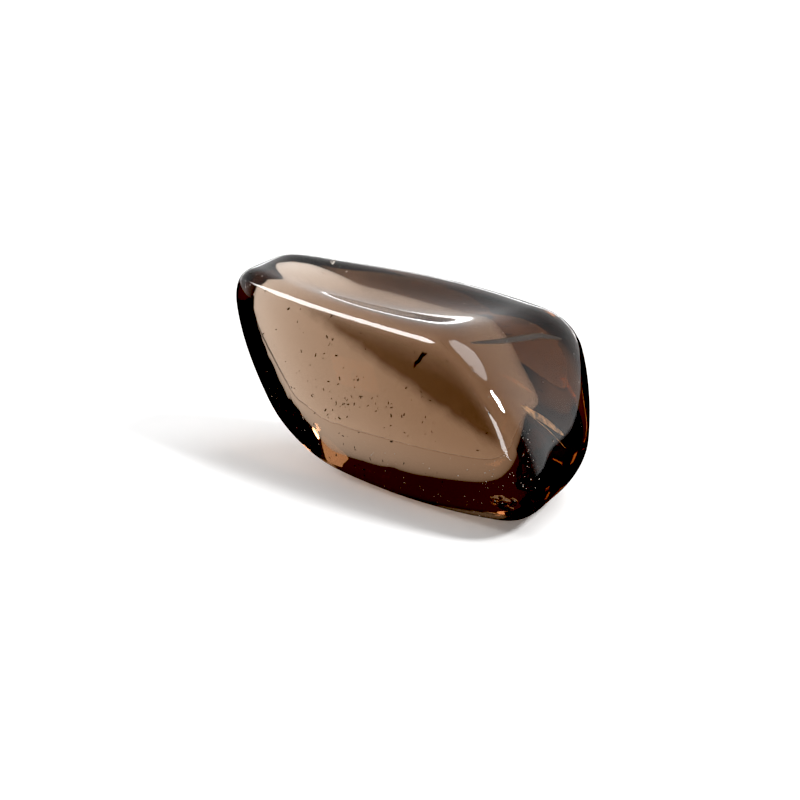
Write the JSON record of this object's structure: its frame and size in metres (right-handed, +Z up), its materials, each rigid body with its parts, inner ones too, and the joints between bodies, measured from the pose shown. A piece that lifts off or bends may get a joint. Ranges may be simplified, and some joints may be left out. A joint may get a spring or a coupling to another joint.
{
  "type": "smoky quartz tumbled stone",
  "caption": "Polished, tumbled pebble of clear brown smoky quartz with rounded edges, a shallow dish on top and a small worn flat to rest on.",
  "frame": {"origin": "under the middle of the stone's box, on the surface that it rests on", "axes": "+X along the stone's length towards its slanted end face, +Z up, the broad flat face towards -Y"},
  "size_m": [0.0334, 0.016, 0.0169],
  "materials": {
    "quartz": "polished, transparent, smoky brown"
  },
  "bodies": {
    "root": {"smoky_quartz": "quartz"}
  },
  "joints": []
}
